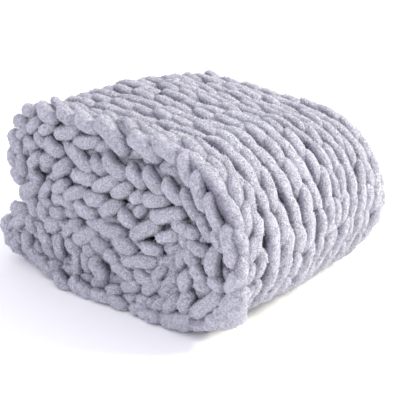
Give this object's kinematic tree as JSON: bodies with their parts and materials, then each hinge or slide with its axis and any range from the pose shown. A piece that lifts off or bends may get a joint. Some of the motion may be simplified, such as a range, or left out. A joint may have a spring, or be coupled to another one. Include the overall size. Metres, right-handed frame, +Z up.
{
  "type": "chunky knit blanket",
  "caption": "Chunky knit throw of thick plush yarn, folded across and then back and forth into a soft ribbed block with a big rounded fold at one end.",
  "frame": {"origin": "centre of the resting underside, at the surface it lies on", "axes": "+X along the knit ribs towards the big rounded fold, -Y towards the face that shows the edges of the layers, +Z up"},
  "size_m": [0.46, 0.3598, 0.2411],
  "materials": {
    "plush_yarn": "matt pale lavender grey, short plush pile"
  },
  "bodies": {
    "root": {"blanket": "plush_yarn"}
  },
  "joints": []
}
